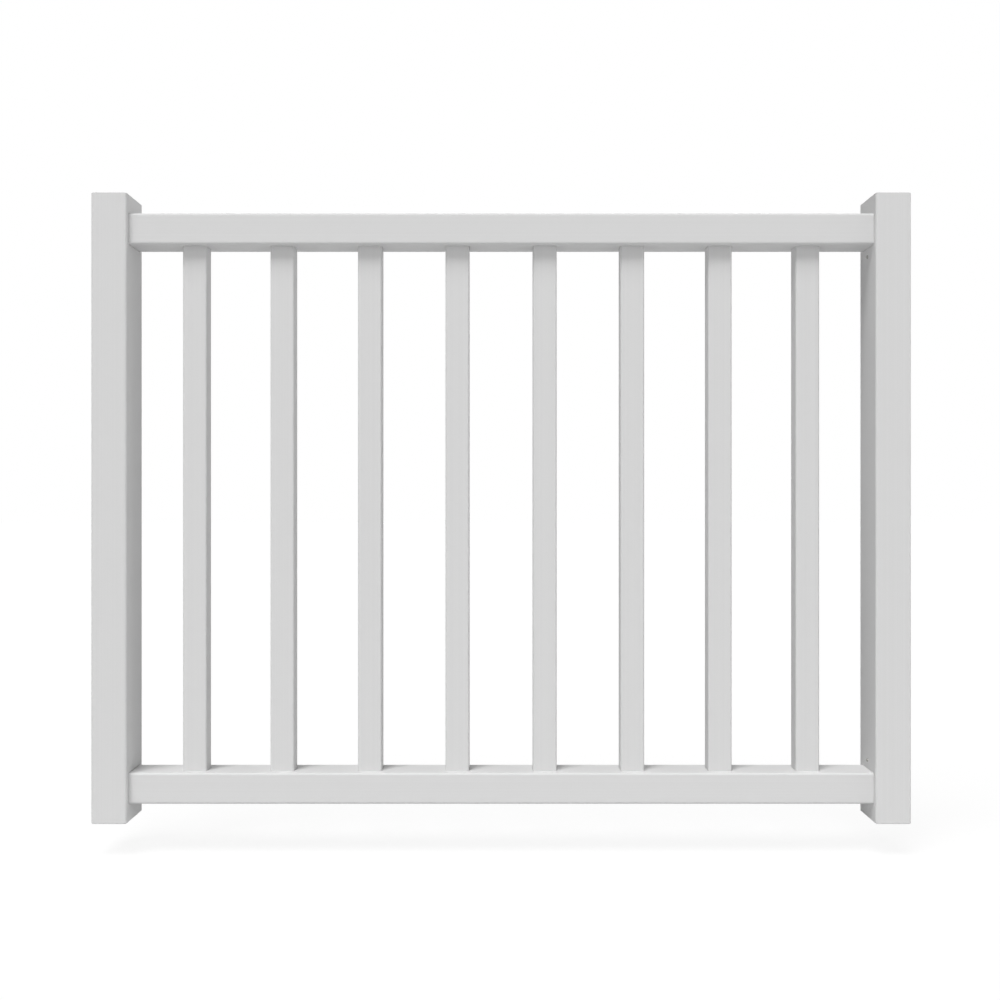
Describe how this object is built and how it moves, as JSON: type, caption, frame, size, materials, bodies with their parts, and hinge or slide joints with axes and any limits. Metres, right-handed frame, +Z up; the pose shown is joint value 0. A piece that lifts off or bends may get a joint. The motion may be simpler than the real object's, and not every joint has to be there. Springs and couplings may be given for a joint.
{
  "type": "vinyl railing gate",
  "caption": "Vinyl railing gate leaf: hollow capped uprights, a top and a bottom rail let into them, and square balusters seated in routed holes.",
  "frame": {"origin": "centre of the left upright's outer face, where hinges are fastened", "axes": "+X across the leaf from the left upright to the right one, -Y is the front shown in the picture, +Z up"},
  "size_m": [1.1875, 0.0888, 0.9144],
  "materials": {
    "extruded_vinyl": "satin white, faint lines along the extrusion",
    "moulded_cap": "satin white, fine moulded grain"
  },
  "bodies": {
    "root": {"left_upright": "extruded_vinyl", "right_upright": "extruded_vinyl", "top_rail": "extruded_vinyl", "bottom_rail": "extruded_vinyl", "baluster_1": "extruded_vinyl", "baluster_2": "extruded_vinyl", "baluster_3": "extruded_vinyl", "baluster_4": "extruded_vinyl", "baluster_5": "extruded_vinyl", "baluster_6": "extruded_vinyl", "baluster_7": "extruded_vinyl", "baluster_8": "extruded_vinyl", "left_upright_top_cap": "moulded_cap", "left_upright_bottom_cap": "moulded_cap", "right_upright_top_cap": "moulded_cap", "right_upright_bottom_cap": "moulded_cap"}
  },
  "joints": []
}
